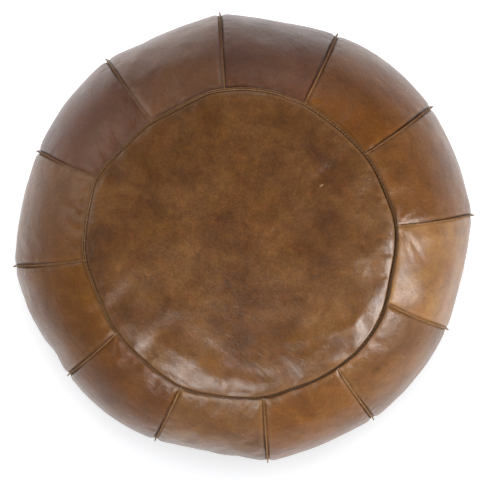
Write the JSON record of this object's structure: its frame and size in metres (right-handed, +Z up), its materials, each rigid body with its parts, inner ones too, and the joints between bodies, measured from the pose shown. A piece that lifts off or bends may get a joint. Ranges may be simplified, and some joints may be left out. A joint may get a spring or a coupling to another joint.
{
  "type": "moroccan leather pouf",
  "caption": "Round stuffed leather pouf: flat round top, petal-shaped side gores with standing raw-edge seams, zipped base, cotton inner bag.",
  "frame": {"origin": "on the floor plane, on the vertical axis of the round top seam, which is the middle of the footprint to within a few millimetres", "axes": "+Z up, +X along the zip in the base from its start stops to its end stop, +Y across the zip"},
  "size_m": [0.6114, 0.5984, 0.361],
  "materials": {
    "top_leather": "satin",
    "side_leather": "satin",
    "base_leather": "satin",
    "thread": "matte",
    "zip_tape": "matte",
    "zip_metal": "satin",
    "cotton": "matte",
    "stuffing": "matte"
  },
  "bodies": {
    "pouf": {"top_panel": "top_leather", "side_panel_01": "side_leather", "side_panel_02": "side_leather", "side_panel_03": "side_leather", "side_panel_04": "side_leather", "side_panel_05": "side_leather", "side_panel_06": "side_leather", "side_panel_07": "side_leather", "side_panel_08": "side_leather", "side_panel_09": "side_leather", "side_panel_10": "side_leather", "side_panel_11": "side_leather", "side_panel_12": "side_leather", "base_panel_front": "base_leather", "base_panel_back": "base_leather", "top_seam_thread": "thread", "side_seam_thread": "thread", "base_seam_thread": "thread", "zip_stitching": "thread", "zip_tape_front": "zip_tape", "zip_tape_back": "zip_tape", "zip_teeth_front": "zip_metal", "zip_teeth_back": "zip_metal", "zip_top_stops": "zip_metal", "zip_end_stop": "zip_metal", "liner_top": "cotton", "liner_side": "cotton", "liner_base": "cotton", "filling": "stuffing"},
    "zip_slider": {"zip_slider": "zip_metal"},
    "zip_pull": {"zip_pull": "zip_metal"}
  },
  "joints": [
    {"name": "zip_slide", "type": "slide", "parent": "pouf", "child": "zip_slider", "axis": [1, 0, 0], "range_m": [0, 0.26]},
    {"name": "zip_pull_swing", "type": "hinge", "parent": "zip_slider", "child": "zip_pull", "pos_m": [-0.13, 0, 0.0039], "axis": [0, 1, 0], "range_deg": [0, 180]}
  ]
}
